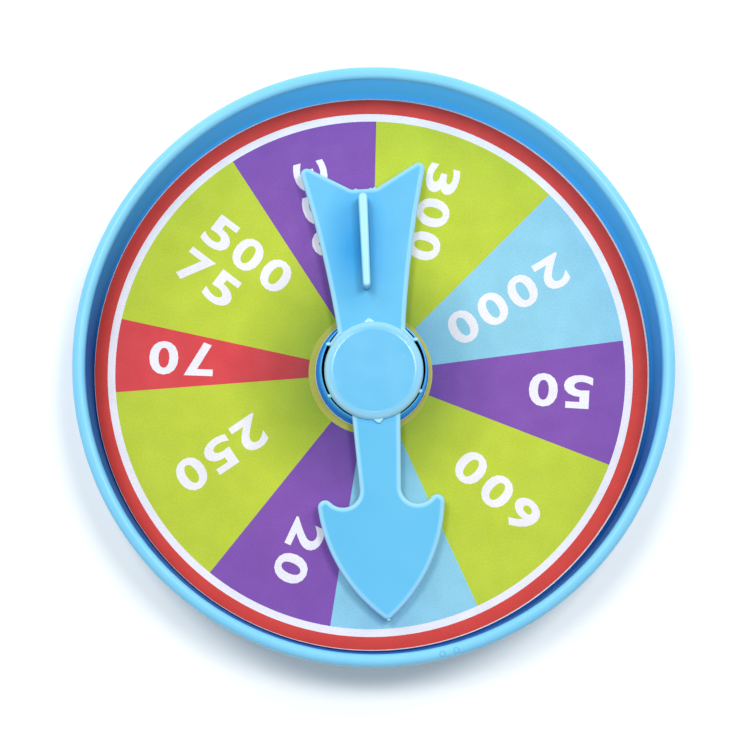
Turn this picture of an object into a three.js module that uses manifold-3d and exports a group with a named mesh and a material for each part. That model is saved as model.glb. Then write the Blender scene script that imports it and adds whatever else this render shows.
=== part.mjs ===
// A table-top game spinner: a dished tray with a raised rim, a printed card dial lying in it, and an
// arrow that is flicked by its tail fin and turns on a screw in the middle.
// Millimetres, +Z up out of the dial, origin on the table under the pivot. The arrow points along -Y
// at rest, turned a few degrees towards +X.
import * as THREE from "three";
import { mergeVertices } from "three/addons/utils/BufferGeometryUtils.js";
import Module from "manifold-3d";

const wasm = await Module();
wasm.setup();

// Driving dimensions: the tray
const OUTER_RADIUS = 70; // outside of the rim
const RIM_WIDTH = 3.0; // across the rounded rim, from the dish to the outside
const DISH_DEPTH = 17.0; // rim's top above the card
const PAD_HEIGHT = 3.0; // foam pads between the table and the floor's underside
const FLOOR_THICKNESS = 2.0;
const WALL_THICKNESS = 2.2; // outer wall at its foot
const CREASE_DEPTH = 3.3; // the shallow crease in the dish wall, below the rim's top
const CREASE_STEP = 0.15; // how far the dish narrows at the crease
const SKIRT_CLEARANCE = 1.2; // the wall's foot above the table
const RIB_CLEARANCE = 1.6; // ribs and boss above the table
const RIB_THICKNESS = 1.2;
const RIB_COUNT = 8;
const RING_RIB_RADIUS = 30;

// Driving dimensions: the hub
const COLLAR_RADIUS = 12.85; // domed collar that stands up through the card
const COLLAR_BORE = 12.3;
const COLLAR_RISE = 3.2; // above the card
const WELL_FLOOR = 3.2; // bottom of the collar's bore, above the table
const SHOULDER_RADIUS = 6.0; // post that the bush stands on
const SHOULDER_TOP = 5.8;
const SCREW_RADIUS = 1.45;
const FIT_GAP = 0.3; // between fixed pieces that are pushed together
const BUSH_RADIUS = 2.7;
const RUNNING_GAP = 0.12; // between the arrow's bore and the bush

// Driving dimensions: the card, its tape and the foam pads
const CARD_RADIUS = 66.1;
const CARD_HOLE_RADIUS = 13.42;
const CARD_PLACE = [-0.33, -0.38]; // the card is stuck down a little off centre
const CARD_THICKNESS = 0.8;
const TAPE_THICKNESS = 0.2;
const TAPE_RADII = [20, 60];
const PAD_RADIUS = 6;
const PAD_PLACE = 50; // from the axis
const PAD_COUNT = 4;

// Driving dimensions: the arrow, its tip along -Y
const ARROW_TURN = 3.2; // degrees from -Y towards +X at rest
const PLATE_THICKNESS = 2.0;
const PLATE_LIFT = 0.4; // underside of the arrow above the collar
const EDGE_ROUND = 0.9; // rounding of the arrow's upper edges
const TIP_RADIUS = 1.3;
const HEAD_SIDE = { x: -23.5, y: -28.9, radius: 38.6 }; // arc of the right side of the arrow head
const BARB = { x: 13.2, radius: 1.75 };
const ARMPIT = { x: 8.85, radius: 4.0 }; // hollow between barb and shaft
const SHAFT_AT_HUB = 5.75; // half widths
const HUB_PLATE_RADIUS = 12.05;
const TAIL_AT_HUB = 8.0;
const TAIL_TIP = { x: 13.3, y: 47.1, radius: 1.5 };
const TAIL_SIDE_BEND = [10.0, 28.1]; // pulls the tail's side in, so that it flares
const TAIL_SIDE_SLOPE = 14.2; // degrees from Y where the side meets the tip
const NOTCH_SLOPE = 28.5; // degrees from X of the swallow tail's arms
const NOTCH_HALF_WIDTH = 2.5;
const WINDOW_ANGLES = [-28, 30.5]; // degrees from +X, repeated on the left
const WINDOW_RADIUS = 11.2;
const FIN = { start: 18.7, end: 41.1, thin: 1.9, thick: 2.3, height: 6.5, offset: -0.47, skew: -0.6 };
const BARREL_RADIUS = 10.4; // under the hub plate, inside the collar
const POCKET_RADIUS = 9.2; // holds the screw's head, closed by the cap
const POCKET_FLOOR = 8.4;

// Driving dimensions: the hub cap
const CAP_RADIUS = 11.8;
const CAP_HEIGHT = 2.2;
const CAP_ROUND = 2.0;
const CAP_SEAM = 0.05; // hairline between the cap and the hub plate
const CAP_PLACE = [0, -0.6]; // the cap sits a little off centre in the pocket
const CAP_PLAY = 0.75; // round the cap's plug ring
const LUG_REACH = 12.5; // points that line the cap up with the arrow
const LUG_HALF_WIDTH = 1.6;
const CAP_TURN = 2.4; // degrees the cap sits out of line with the arrow

// Heights above the table that follow from these
const FLOOR_TOP = PAD_HEIGHT + FLOOR_THICKNESS;
const CARD_BOTTOM = FLOOR_TOP + TAPE_THICKNESS;
const CARD_TOP = CARD_BOTTOM + CARD_THICKNESS;
const RIM_TOP = CARD_TOP + DISH_DEPTH;
const COLLAR_TOP = CARD_TOP + COLLAR_RISE;
const PLATE_BOTTOM = COLLAR_TOP + PLATE_LIFT;
const PLATE_TOP = PLATE_BOTTOM + PLATE_THICKNESS;
const THRUST_WASHER = { thickness: 0.5, radius: 4.8 };
const BUSH_TOP = POCKET_FLOOR + FIT_GAP;
const SCREW_WASHER = { thickness: 0.5, radius: 5.0 };
const HEAD_BOTTOM = BUSH_TOP + SCREW_WASHER.thickness;
const SCREW_HEAD = { height: 1.8, radius: 2.9 };

const ROUND_STEPS = 64; // sides of the large turned pieces
const SMALL_STEPS = 32;
const radians = THREE.MathUtils.degToRad;

// A closed mesh as a solid that can be cut and joined.
function solidOf(geometry) {
  const bare = geometry.clone().deleteAttribute("normal").deleteAttribute("uv");
  const merged = mergeVertices(bare, 1e-4);
  const vertProperties = new Float32Array(merged.attributes.position.array);
  const triVerts = new Uint32Array(merged.index.array);
  return new wasm.Manifold(new wasm.Mesh({ numProp: 3, vertProperties, triVerts }));
}

// The mesh of a cut or joined solid.
function geometryOf(solid) {
  const { vertProperties, triVerts } = solid.getMesh();
  const geometry = new THREE.BufferGeometry();
  geometry.setAttribute("position", new THREE.BufferAttribute(vertProperties, 3));
  geometry.setIndex(new THREE.BufferAttribute(triVerts, 1));
  geometry.computeVertexNormals();
  return geometry;
}

// A profile of radius and height, turned about +Z.
function turned(path, steps, arcSteps = 2) {
  return new THREE.LatheGeometry(path.getPoints(arcSteps), steps).rotateX(Math.PI / 2);
}

// A profile drawn through its corners, given as [radius, height].
function cornered(corners) {
  const path = new THREE.Path();
  path.setFromPoints(corners.map(([radius, height]) => new THREE.Vector2(radius, height)));
  return path;
}

// A flat ring, such as a washer.
function ring(innerRadius, outerRadius, bottom, top, steps) {
  const corners = [
    [innerRadius, bottom],
    [outerRadius, bottom],
    [outerRadius, top],
    [innerRadius, top],
    [innerRadius, bottom],
  ];
  return turned(cornered(corners), steps);
}

// A solid cylinder on the axis, for cutting.
function cylinder(radius, bottom, top, steps) {
  const corners = [
    [0, bottom],
    [radius, bottom],
    [radius, top],
    [0, top],
  ];
  return turned(cornered(corners), steps);
}

function box(width, depth, height, x, y, z) {
  return new THREE.BoxGeometry(width, depth, height).translate(x, y, z);
}

// The tray's section, from the screw boss out along the underside, over the rim and back to the hole
// for the screw.
function traySection() {
  const skirt = OUTER_RADIUS - 1.0;
  const dishAtRim = OUTER_RADIUS - RIM_WIDTH;
  const dishAtFloor = dishAtRim - CREASE_STEP;
  const bossRadius = COLLAR_RADIUS + 0.85;
  const outerRound = 1.5;
  const innerRound = 1.1;
  const hole = SCREW_RADIUS + FIT_GAP;

  const path = new THREE.Path();
  path.moveTo(0, RIB_CLEARANCE);
  path.lineTo(bossRadius - 0.1, RIB_CLEARANCE);
  path.lineTo(bossRadius, PAD_HEIGHT);
  path.lineTo(RING_RIB_RADIUS, PAD_HEIGHT);
  path.lineTo(RING_RIB_RADIUS, RIB_CLEARANCE);
  path.lineTo(RING_RIB_RADIUS + RIB_THICKNESS, RIB_CLEARANCE);
  path.lineTo(RING_RIB_RADIUS + RIB_THICKNESS, PAD_HEIGHT);
  path.lineTo(skirt - WALL_THICKNESS, PAD_HEIGHT);
  path.lineTo(skirt - WALL_THICKNESS + 0.1, SKIRT_CLEARANCE);
  path.lineTo(skirt - 0.5, SKIRT_CLEARANCE);
  path.lineTo(skirt, SKIRT_CLEARANCE + 0.5);
  // up the outside to the bead under the rim
  path.lineTo(skirt + 0.3, RIM_TOP - 4.2);
  path.quadraticCurveTo(skirt + 0.35, RIM_TOP - 3.4, OUTER_RADIUS - 0.12, RIM_TOP - 2.9);
  path.lineTo(OUTER_RADIUS, RIM_TOP - 2.4);
  path.absarc(OUTER_RADIUS - outerRound, RIM_TOP - outerRound, outerRound, 0, Math.PI / 2);
  path.absarc(dishAtRim + innerRound, RIM_TOP - innerRound, innerRound, Math.PI / 2, Math.PI);
  // down the dish wall, with its crease, to the floor
  path.lineTo(dishAtRim, RIM_TOP - CREASE_DEPTH);
  path.lineTo(dishAtFloor, RIM_TOP - CREASE_DEPTH - 0.35);
  path.lineTo(dishAtFloor, FLOOR_TOP);
  // the collar and its bore
  path.lineTo(COLLAR_RADIUS, FLOOR_TOP);
  path.lineTo(COLLAR_RADIUS, CARD_TOP);
  path.quadraticCurveTo(COLLAR_RADIUS, COLLAR_TOP - 0.3, COLLAR_BORE + 0.12, COLLAR_TOP);
  path.lineTo(COLLAR_BORE, COLLAR_TOP - 0.12);
  path.lineTo(COLLAR_BORE, WELL_FLOOR);
  // the post under the bush, and the screw's hole
  path.lineTo(SHOULDER_RADIUS, WELL_FLOOR);
  path.lineTo(SHOULDER_RADIUS, SHOULDER_TOP);
  path.lineTo(hole, SHOULDER_TOP);
  path.lineTo(hole, RIB_CLEARANCE + 0.6);
  path.lineTo(0, RIB_CLEARANCE + 0.6);
  return path;
}

function trayGeometry() {
  const reach = OUTER_RADIUS - WALL_THICKNESS - COLLAR_RADIUS - 1.0;
  const middle = COLLAR_RADIUS + 0.4 + reach / 2;
  const ribHeight = PAD_HEIGHT - RIB_CLEARANCE + FLOOR_THICKNESS / 2;
  let tray = solidOf(turned(traySection(), ROUND_STEPS));
  for (let i = 0; i < RIB_COUNT; i += 1) {
    const rib = box(reach, RIB_THICKNESS, ribHeight, middle, 0, RIB_CLEARANCE + ribHeight / 2);
    tray = tray.add(solidOf(rib.rotateZ(((i + 0.5) * 2 * Math.PI) / RIB_COUNT)));
  }
  return geometryOf(tray);
}

// The right half of the arrow's outline, from the tip up to the notch in the tail. Each arc runs
// smoothly into the next, so the centres follow from the radii.
function arrowHalf() {
  const side = HEAD_SIDE;
  const tipCentre = side.y - Math.sqrt((side.radius - TIP_RADIUS) ** 2 - side.x ** 2);
  const tipAngle = Math.atan2(tipCentre - side.y, -side.x);
  const barbAcross = BARB.x - side.x;
  const barbY = side.y - Math.sqrt((side.radius - BARB.radius) ** 2 - barbAcross ** 2);
  const barbAngle = Math.atan2(barbY - side.y, barbAcross);
  const across = BARB.x - ARMPIT.x;
  const along = Math.sqrt((BARB.radius + ARMPIT.radius) ** 2 - across ** 2);
  const hubAngle = Math.acos(SHAFT_AT_HUB / HUB_PLATE_RADIUS);
  const tailAngle = Math.acos(TAIL_AT_HUB / HUB_PLATE_RADIUS);
  const sideAngle = -radians(TAIL_SIDE_SLOPE);
  const armAngle = Math.PI / 2 + radians(NOTCH_SLOPE);
  const armEndX = TAIL_TIP.x + TAIL_TIP.radius * Math.cos(armAngle);
  const armEndY = TAIL_TIP.y + TAIL_TIP.radius * Math.sin(armAngle);
  const notchY = armEndY - (armEndX - NOTCH_HALF_WIDTH) * Math.tan(radians(NOTCH_SLOPE));

  const path = new THREE.Path();
  path.moveTo(0, tipCentre - TIP_RADIUS);
  path.absarc(0, tipCentre, TIP_RADIUS, -Math.PI / 2, tipAngle);
  path.absarc(side.x, side.y, side.radius, tipAngle, barbAngle);
  path.absarc(BARB.x, barbY, BARB.radius, barbAngle, Math.atan2(along, -across));
  path.absarc(ARMPIT.x, barbY + along, ARMPIT.radius, Math.atan2(-along, across), -Math.PI, true);
  path.absarc(0, 0, HUB_PLATE_RADIUS, -hubAngle, radians(WINDOW_ANGLES[1]));
  path.lineTo(TAIL_AT_HUB, HUB_PLATE_RADIUS * Math.sin(tailAngle));
  path.quadraticCurveTo(
    ...TAIL_SIDE_BEND,
    TAIL_TIP.x + TAIL_TIP.radius * Math.cos(sideAngle),
    TAIL_TIP.y + TAIL_TIP.radius * Math.sin(sideAngle),
  );
  path.absarc(TAIL_TIP.x, TAIL_TIP.y, TAIL_TIP.radius, sideAngle, armAngle);
  path.lineTo(NOTCH_HALF_WIDTH, notchY);
  return path;
}

function arrowShape() {
  const right = arrowHalf().getPoints(4);
  const left = right
    .slice(1)
    .reverse()
    .map((point) => new THREE.Vector2(-point.x, point.y));
  return new THREE.Shape([...right, ...left]);
}

// The flat of the arrow, with its upper edge rounded over and its underside cut square.
function arrowPlate() {
  const rounded = new THREE.ExtrudeGeometry(arrowShape(), {
    depth: PLATE_THICKNESS,
    bevelThickness: EDGE_ROUND,
    bevelSize: EDGE_ROUND,
    bevelOffset: -EDGE_ROUND,
    bevelSegments: 2,
  });
  const cutDepth = 4;
  const below = box(200, 200, cutDepth, 0, 0, PLATE_BOTTOM - cutDepth / 2);
  return solidOf(rounded.translate(0, 0, PLATE_BOTTOM - EDGE_ROUND)).subtract(solidOf(below));
}

// The upright fin that a finger flicks, a little thicker at its outer end.
function finGeometry() {
  const edge = 0.85;
  const root = 0.2; // how far its own round edge ends below the tail's surface
  const shape = new THREE.Shape();
  shape.absarc(0, FIN.start + FIN.thin / 2, FIN.thin / 2, Math.PI, 2 * Math.PI);
  shape.absarc(0, FIN.end - FIN.thick / 2, FIN.thick / 2, 0, Math.PI);
  const fin = new THREE.ExtrudeGeometry(shape, {
    depth: FIN.height + root - edge,
    bevelThickness: edge,
    bevelSize: edge,
    bevelOffset: -edge,
    bevelSegments: 2,
    curveSegments: 5,
  });
  const middle = (FIN.start + FIN.end) / 2;
  fin.translate(0, -middle, PLATE_TOP - root);
  return fin.rotateZ(radians(FIN.skew)).translate(FIN.offset, middle, 0);
}

// One of the two windows beside the hub cap, as a cutter.
function windowGeometry(turn) {
  const [from, to] = WINDOW_ANGLES.map(radians);
  const shape = new THREE.Shape();
  shape.absarc(0, 0, HUB_PLATE_RADIUS + 1, from, to);
  shape.absarc(0, 0, WINDOW_RADIUS, to, from, true);
  const options = { depth: PLATE_THICKNESS + 2, bevelEnabled: false, curveSegments: 8 };
  return new THREE.ExtrudeGeometry(shape, options).translate(0, 0, PLATE_BOTTOM - 1).rotateZ(turn);
}

// Arrow, hub plate, barrel, pocket and fin in one moulding.
function pointerGeometry() {
  const thrustTop = SHOULDER_TOP + THRUST_WASHER.thickness;
  const barrelBottom = thrustTop + 0.1;
  const above = PLATE_TOP + 1;
  const windows = [0, Math.PI].map((turn) => solidOf(windowGeometry(turn)));
  const barrel = cylinder(BARREL_RADIUS, barrelBottom, PLATE_BOTTOM + 0.5, SMALL_STEPS);
  const pocket = cylinder(POCKET_RADIUS, POCKET_FLOOR, above, SMALL_STEPS);
  const bore = cylinder(BUSH_RADIUS + RUNNING_GAP, barrelBottom - 1, above, SMALL_STEPS);
  const pointer = arrowPlate()
    .subtract(windows[0])
    .subtract(windows[1])
    .add(solidOf(finGeometry()))
    .add(solidOf(barrel))
    .subtract(solidOf(pocket))
    .subtract(solidOf(bore));
  return geometryOf(pointer);
}

// A small point on the cap's edge that lines it up with the arrow.
function lugGeometry(turn) {
  const shape = new THREE.Shape();
  shape.moveTo(-LUG_HALF_WIDTH, CAP_RADIUS - 0.8);
  shape.lineTo(LUG_HALF_WIDTH, CAP_RADIUS - 0.8);
  shape.lineTo(0, LUG_REACH);
  const lug = new THREE.ExtrudeGeometry(shape, { depth: 0.7, bevelEnabled: false });
  return lug.translate(0, 0, PLATE_TOP + CAP_SEAM).rotateZ(turn);
}

// The cap that closes the hub, with the ring that presses into the arrow's pocket.
function capGeometry() {
  const bottom = PLATE_TOP + CAP_SEAM;
  const top = PLATE_TOP + CAP_HEIGHT;
  const plug = POCKET_RADIUS - CAP_PLAY;
  const plugWall = 1.2;
  const path = new THREE.Path();
  path.moveTo(0, bottom + 0.8);
  path.lineTo(plug - plugWall, bottom + 0.8);
  path.lineTo(plug - plugWall, bottom - 1.8);
  path.lineTo(plug, bottom - 1.8);
  path.lineTo(plug, bottom);
  path.lineTo(CAP_RADIUS, bottom);
  path.absarc(CAP_RADIUS - CAP_ROUND, top - CAP_ROUND, CAP_ROUND, 0, Math.PI / 2);
  path.lineTo(0, top);
  const cap = solidOf(turned(path, SMALL_STEPS, 3));
  const lugs = [0, Math.PI].map((turn) => solidOf(lugGeometry(turn + radians(CAP_TURN))));
  return geometryOf(cap.add(lugs[0]).add(lugs[1])).translate(...CAP_PLACE, 0);
}

// A pan-head screw with a cross recess.
function screwGeometry() {
  const tip = RIB_CLEARANCE + 0.6 + FIT_GAP;
  const top = HEAD_BOTTOM + SCREW_HEAD.height;
  const path = new THREE.Path();
  path.moveTo(0, tip);
  path.lineTo(SCREW_RADIUS * 0.4, tip);
  path.lineTo(SCREW_RADIUS, tip + 1);
  path.lineTo(SCREW_RADIUS, HEAD_BOTTOM);
  path.lineTo(SCREW_HEAD.radius, HEAD_BOTTOM);
  path.absarc(SCREW_HEAD.radius - 1.2, top - 1.2, 1.2, 0, Math.PI / 2);
  path.lineTo(0, top);
  const slot = box(2.6, 0.6, 2, 0, 0, top + 1 - 0.9);
  const screw = solidOf(turned(path, SMALL_STEPS / 2));
  return geometryOf(screw.subtract(solidOf(slot)).subtract(solidOf(slot.rotateZ(Math.PI / 2))));
}

function padGeometry() {
  const edge = 0.4;
  const corners = [
    [0, 0],
    [PAD_RADIUS - edge, 0],
    [PAD_RADIUS, edge],
    [PAD_RADIUS, PAD_HEIGHT],
    [0, PAD_HEIGHT],
  ];
  return turned(cornered(corners), SMALL_STEPS);
}

const PLASTIC = { color: 0x6cc3f0, roughness: 0.35, metalness: 0 };
const CARD = { color: 0xd9503f, roughness: 0.6, metalness: 0 };
const TAPE = { color: 0xe8e2cf, roughness: 0.7, metalness: 0 };
const STEEL = { color: 0xb9bcc0, roughness: 0.3, metalness: 1 };
const NYLON = { color: 0xf1f1ec, roughness: 0.5, metalness: 0 };
const FOAM = { color: 0x2b2d30, roughness: 0.9, metalness: 0 };

function part(name, geometry, look) {
  const mesh = new THREE.Mesh(geometry, new THREE.MeshStandardMaterial(look));
  mesh.name = name;
  return mesh;
}

const spinner = new THREE.Group();
spinner.name = "game_spinner";
spinner.add(part("base_tray", trayGeometry(), PLASTIC));

const tape = ring(...TAPE_RADII, FLOOR_TOP, CARD_BOTTOM, ROUND_STEPS);
const card = ring(CARD_HOLE_RADIUS, CARD_RADIUS, CARD_BOTTOM, CARD_TOP, ROUND_STEPS);
spinner.add(part("card_tape", tape.translate(...CARD_PLACE, 0), TAPE));
spinner.add(part("dial_card", card.translate(...CARD_PLACE, 0), CARD));

const boreRadius = SCREW_RADIUS + FIT_GAP;
const thrustTop = SHOULDER_TOP + THRUST_WASHER.thickness;
const thrust = ring(BUSH_RADIUS + FIT_GAP, THRUST_WASHER.radius, SHOULDER_TOP, thrustTop, SMALL_STEPS);
const bush = ring(boreRadius, BUSH_RADIUS, SHOULDER_TOP, BUSH_TOP, SMALL_STEPS);
const washer = ring(boreRadius, SCREW_WASHER.radius, BUSH_TOP, HEAD_BOTTOM, SMALL_STEPS);
spinner.add(part("thrust_washer", thrust, NYLON));
spinner.add(part("pivot_bush", bush, NYLON));
spinner.add(part("screw_washer", washer, STEEL));
spinner.add(part("pivot_screw", screwGeometry(), STEEL));

for (let i = 0; i < PAD_COUNT; i += 1) {
  const pad = part(`foot_pad_${i + 1}`, padGeometry(), FOAM);
  const angle = ((i + 0.5) * 2 * Math.PI) / PAD_COUNT;
  pad.position.set(PAD_PLACE * Math.cos(angle), PAD_PLACE * Math.sin(angle), 0);
  spinner.add(pad);
}

const arrow = new THREE.Group();
arrow.rotation.z = radians(ARROW_TURN);
arrow.add(part("pointer", pointerGeometry(), PLASTIC));
arrow.add(part("hub_cap", capGeometry(), PLASTIC));
spinner.add(arrow);

export default spinner;
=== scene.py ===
"""Looks of a table-top game spinner: a light blue dished tray with a printed card dial and a flicked arrow.

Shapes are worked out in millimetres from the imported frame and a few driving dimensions, then stored
in metres. The dial lies flat with its upper edge towards +Y.
"""

import math

import bmesh
import bpy
from mathutils import Matrix, Vector


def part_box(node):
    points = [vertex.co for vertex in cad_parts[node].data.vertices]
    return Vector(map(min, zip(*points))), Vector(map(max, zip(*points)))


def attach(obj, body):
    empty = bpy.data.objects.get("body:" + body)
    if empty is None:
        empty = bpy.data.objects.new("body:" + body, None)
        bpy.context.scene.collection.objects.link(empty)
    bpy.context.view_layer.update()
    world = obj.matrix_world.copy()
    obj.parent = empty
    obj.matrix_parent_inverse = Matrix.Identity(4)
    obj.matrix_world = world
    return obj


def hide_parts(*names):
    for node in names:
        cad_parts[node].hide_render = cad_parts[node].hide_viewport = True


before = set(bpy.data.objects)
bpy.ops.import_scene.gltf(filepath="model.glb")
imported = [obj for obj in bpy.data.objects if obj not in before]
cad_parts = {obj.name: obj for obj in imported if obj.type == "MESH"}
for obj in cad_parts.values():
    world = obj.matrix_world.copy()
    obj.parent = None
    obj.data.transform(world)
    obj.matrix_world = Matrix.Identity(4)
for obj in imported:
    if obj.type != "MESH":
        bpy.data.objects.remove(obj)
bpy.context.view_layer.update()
MM = 0.001

# Driving dimensions in millimetres, beside those read from the frame
RIM_WIDTH = 3.0
WALL_THICKNESS = 2.2
COLLAR_RADIUS = 12.85
COLLAR_BORE = 12.3
COLLAR_RISE = 3.2
SHOULDER_RADIUS = 6.0
WELL_FLOOR = 3.2
RIB_BOTTOM = 1.6
RIB_THICKNESS = 1.2
RIB_COUNT = 8
RING_RIB_RADIUS = 30.0
SCREW_HOLE_RADIUS = 1.75
GATE_MARKS = (166.8, 164.0)  # bearings of the two ring marks on the rim

ARROW_TURN = math.radians(3.2)
TIP_RADIUS = 1.3
HEAD_SIDE = (-23.5, -28.9, 38.6)  # x, y and radius of the arc along the head's right side
BARB_X, BARB_RADIUS = 13.2, 1.75
ARMPIT_X, ARMPIT_RADIUS = 8.85, 4.0
PLATE_THICKNESS = 2.0
SHAFT_AT_HUB = 5.75
HUB_PLATE_RADIUS = 12.05
TAIL_AT_HUB = 8.0
TAIL_TIP = (13.3, 47.1, 1.5)
TAIL_SIDE_BEND = (10.0, 28.1)
TAIL_SIDE_SLOPE = math.radians(14.2)
NOTCH_SLOPE = math.radians(28.5)
NOTCH_HALF_WIDTH = 2.5
WINDOW_FROM, WINDOW_TO = math.radians(-28), math.radians(30.5)
WINDOW_RADIUS = 11.2
POCKET_RADIUS = 9.2
BARREL_RADIUS = 10.4
BORE_RADIUS = 2.82
POCKET_FLOOR = 8.4
FIN_START, FIN_END = 18.7, 41.1
FIN_THIN, FIN_THICK = 1.9, 2.3
FIN_HEIGHT = 6.5
FIN_OFFSET = -0.47
FIN_SKEW = math.radians(-0.6)
EDGE_ROUND = 0.95
PAINTED_EDGE_LIGHT_REACH = 1.25  # how far in from the edge the painted edge light reaches

CAP_RADIUS = 11.8
CAP_PLACE = (0, -0.6)
PLUG_RADIUS = 8.45
PLUG_DEPTH = 1.8
CAP_ROUND = 2.0
CAP_FLAT = 9.5  # radius inside which the cap gets no painted edge light
LUG_REACH = 12.5
CAP_TURN = math.radians(2.4)

# The printed sheet
CARD_HOLE_RADIUS = 13.42
PRINT_CENTRE = Vector((-0.71, -0.64))
YELLOW_RADIUS = 14.75
SECTOR_RADIUS = 60.75
WHITE_RADIUS = 62.55
SECTORS = (
    (1.3, "green"),
    (44.9, "sky"),
    (82.6, "purple"),
    (111.1, "green"),
    (155.4, "sky"),
    (189.0, "purple"),
    (218.7, "green"),
    (265.6, "red"),
    (282.3, "green"),
    (327.0, "purple"),
)
# numeral, distance from the print's centre, bearing of its middle, bearing that it reads towards
NUMERALS = (
    ("300", 41.4, 21.2, 195.5),
    ("2000", 37.2, 61.8, 238.9),
    ("50", 45.5, 95.3, 273.2),
    ("600", 41.2, 133.2, 312.0),
    ("80", 41.5, 172.2, 352.2),
    ("20", 45.9, 201.8, 205.1),
    ("250", 40.5, 241.4, 235.7),
    ("70", 45.2, 274.4, 272.0),
    ("500", 40.8, 314.1, 127.0),
    ("75", 44.9, 300.2, 127.0),
    ("350", 41.4, 342.9, 165.1),
)
NUMERAL_HEIGHT = 8.0
NUMERAL_WIDTH = 6.9
NUMERAL_PITCH = 8.3
INK_LIFT = 0.02

# Plastic colours
ARROW_FACE, ARROW_DEEP = "66bee8", "62bbe6"
# paler colour of the painted edge light, also used for the dust specks
ARROW_PAINTED_EDGE_LIGHT_AND_DUST = "b0e2f7"
# painted glow, emission on the arrow's edges and the fin's top
ARROW_PAINTED_GLOW = (0.04, 0.09, 0.1, 1)
# painted shade on the tail beside the fin
TAIL_PAINTED_SHADE = "2a9cdc"
# painted lighter top on the fin
FIN_TOP_PAINTED_LIGHT = "a6dcf5"
# centres and radii of the painted shade patches on the tail beside the fin
LEFT_OF_FIN = ((-4.4, 29.5, 11.0), (9.0, 17.0, 9.0))
RIGHT_OF_FIN = ((2.2, 28.5, 11.0), (5.0, 13.0, 9.0))
LIP_FACE, LIP_DEEP = "82cdf1", "7bc8ef"
# painted glow on the lip
LIP_PAINTED_GLOW = (0.01, 0.03, 0.04, 1)
# painted shade: darker copies of the plastic for the dish walls, the lower one nearer the card
WALL_PAINTED_SHADE_UPPER, WALL_PAINTED_SHADE_LOWER = "0869c4", "055aae"
# painted glow on the dish walls, strongest towards the top of the dial
TOP_WALL_PAINTED_GLOW = (0.05, 0.30, 0.52, 1)
COLLAR_FACE = "56b4f0"
# painted glow on the collar
COLLAR_PAINTED_GLOW = (0.02, 0.16, 0.36, 1)
# painted shade in the gap round the collar
HUB_GAP_PAINTED_SHADE = "2f84cc"
# near-black painted shade in the well round the pivot
WELL_PAINTED_SHADE = "04182c"
HUB_SHADE = (0.42, 0.52, 0.6, 1)
SKIRT = "6cc0ec"

# Camera, matched to the photograph's angle
CAMERA_TILT = math.radians(5.44)
CAMERA_BEARING = math.radians(185.1)
CAMERA_DISTANCE = 591.7
CAMERA_LENS = 121.07
CAMERA_AIM = Vector((0.28, -1.97, 15.0))


def heights(node):
    """Bottom and top of a CAD node in millimetres."""
    low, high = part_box(node)
    return low.z / MM, high.z / MM


def reach(node):
    """Half a CAD node's width in millimetres."""
    low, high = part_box(node)
    return (high.x - low.x) / 2 / MM


def middle(node):
    """Where a CAD node's middle is, seen from above, in millimetres."""
    low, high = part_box(node)
    return Vector(((low.x + high.x) / 2 / MM, (low.y + high.y) / 2 / MM))


# ---------------------------------------------------------------- outlines and meshes


def towards(bearing):
    """A unit vector towards a bearing in degrees, clockwise from +Y."""
    a = math.radians(bearing)
    return Vector((math.sin(a), math.cos(a)))


def arc(x, y, radius, start, end, steps):
    """Points on an arc, from start to end in radians."""
    angles = [start + (end - start) * i / steps for i in range(steps + 1)]
    return [Vector((x + radius * math.cos(a), y + radius * math.sin(a))) for a in angles]


def filleted(corners, steps=6):
    """Corners given as (x, y, fillet radius), with each fillet drawn as an arc."""
    points = []
    for i, (x, y, radius) in enumerate(corners):
        here = Vector((x, y))
        if radius == 0:
            points.append(here)
            continue
        before = (Vector(corners[i - 1][:2]) - here).normalized()
        after = (Vector(corners[(i + 1) % len(corners)][:2]) - here).normalized()
        half = before.angle(after) / 2
        centre = here + (before + after).normalized() * radius / math.sin(half)
        first = here + before * radius / math.tan(half) - centre
        last = here + after * radius / math.tan(half) - centre
        sweep = first.angle_signed(last)
        for k in range(steps + 1):
            turn = Matrix.Rotation(-sweep * k / steps, 2)
            points.append(centre + turn @ first)
    return points


def piece(name, mesh, materials, body, slot, *nodes):
    """A shown piece made from a mesh in millimetres, riding on a CAD body in place of CAD nodes."""
    mesh.transform(Matrix.Scale(MM, 4))
    for polygon in mesh.polygons:
        polygon.use_smooth = True
    mesh.set_sharp_from_angle(angle=math.radians(38))
    obj = bpy.data.objects.new(name, mesh)
    bpy.context.scene.collection.objects.link(obj)
    for material in materials:
        mesh.materials.append(material)
    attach(obj, body)
    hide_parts(*nodes)


def mesh_from(name, bm):
    bmesh.ops.recalc_face_normals(bm, faces=bm.faces)
    mesh = bpy.data.meshes.new(name)
    bm.to_mesh(mesh)
    bm.free()
    return mesh


def add_turned(bm, profile, segments, closed=False):
    """Adds a profile of (radius, height) turned about +Z."""
    rings = []
    for point in profile:
        if point.x < 1e-6:
            rings.append([bm.verts.new((0, 0, point.y))])
            continue
        ring = []
        for i in range(segments):
            a = 2 * math.pi * i / segments
            ring.append(bm.verts.new((point.x * math.cos(a), point.x * math.sin(a), point.y)))
        rings.append(ring)
    pairs = list(zip(rings, rings[1:]))
    if closed:
        pairs.append((rings[-1], rings[0]))
    for low, high in pairs:
        for i in range(segments):
            j = (i + 1) % segments
            corners = [low[i % len(low)], low[j % len(low)], high[j % len(high)], high[i % len(high)]]
            unique = list(dict.fromkeys(corners))
            if len(unique) > 2:
                bm.faces.new(unique)


def quarter(x0, y0, x1, y1, steps=10):
    """A quarter of an ellipse that starts upright at (x0, y0) and ends level at (x1, y1)."""
    turns = [math.pi / 2 * i / steps for i in range(steps + 1)]
    return [Vector((x1 + (x0 - x1) * math.cos(a), y0 + (y1 - y0) * math.sin(a))) for a in turns]


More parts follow.
